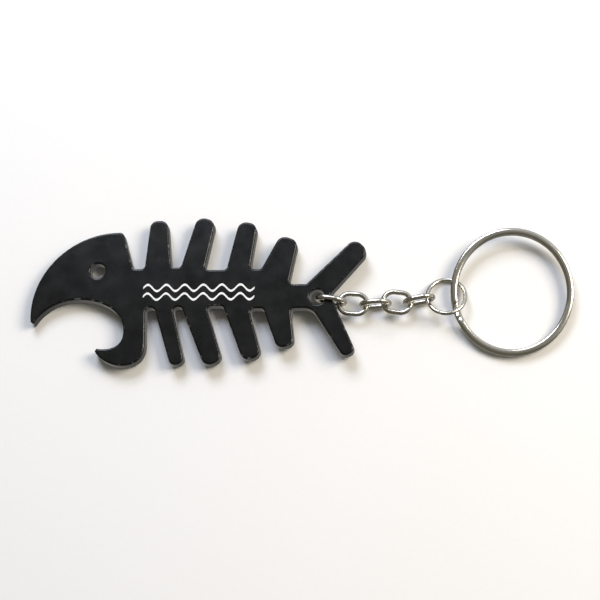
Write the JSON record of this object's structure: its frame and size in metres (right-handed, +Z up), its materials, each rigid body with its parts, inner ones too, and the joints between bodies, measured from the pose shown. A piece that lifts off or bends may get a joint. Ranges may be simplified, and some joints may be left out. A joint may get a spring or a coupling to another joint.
{
  "type": "bottle opener key ring",
  "caption": "Flat fish-skeleton bottle opener with a hooked jaw, on a short wire chain that ends in a jump ring and a split key ring.",
  "frame": {"origin": "on the surface it lies on, under the middle of its bounding box", "axes": "+X from the fish's nose to the key ring, +Y from its belly to its back, +Z up from the surface"},
  "size_m": [0.1204, 0.034, 0.0056],
  "materials": {
    "black_anodised": "satin black anodised",
    "white_ink": "matt printed ink",
    "nickel_wire": "bright nickel plate on steel"
  },
  "bodies": {
    "opener": {"opener": "black_anodised", "imprint": "white_ink"},
    "link_1": {"link_1": "nickel_wire"},
    "link_2": {"link_2": "nickel_wire"},
    "link_3": {"link_3": "nickel_wire"},
    "link_4": {"link_4": "nickel_wire"},
    "link_5": {"link_5": "nickel_wire"},
    "jump_ring": {"jump_ring": "nickel_wire"},
    "split_ring": {"split_ring": "nickel_wire"}
  },
  "joints": [
    {"name": "link_1_swing", "type": "hinge", "parent": "opener", "child": "link_1", "pos_m": [0.0041, -0.0015, 0.0028], "axis": [0, 0, 1], "range_deg": [-1, 14]},
    {"name": "link_2_swing", "type": "hinge", "parent": "link_1", "child": "link_2", "pos_m": [0.00894, -0.00242, 0.00244], "axis": [0.0698, 0.9976, 0], "range_deg": [-30, 30]},
    {"name": "link_3_swing", "type": "hinge", "parent": "link_2", "child": "link_3", "pos_m": [0.01386, -0.00296, 0.0028], "axis": [0, 0, 1], "range_deg": [-35, 35]},
    {"name": "link_4_swing", "type": "hinge", "parent": "link_3", "child": "link_4", "pos_m": [0.01862, -0.00189, 0.00244], "axis": [0.1219, 0.9925, 0], "range_deg": [-30, 30]},
    {"name": "link_5_swing", "type": "hinge", "parent": "link_4", "child": "link_5", "pos_m": [0.02347, -0.00239, 0.0028], "axis": [0, 0, 1], "range_deg": [-35, 35]},
    {"name": "jump_ring_swing", "type": "hinge", "parent": "link_5", "child": "jump_ring", "pos_m": [0.02835, -0.00144, 0.00241], "axis": [-0.1392, 0.9182, -0.371], "range_deg": [-40, 40]},
    {"name": "split_ring_spin", "type": "hinge", "parent": "jump_ring", "child": "split_ring", "pos_m": [0.04676, 0.00014, 0.00216], "axis": [0, -0.0872, 0.9962], "continuous": true}
  ]
}
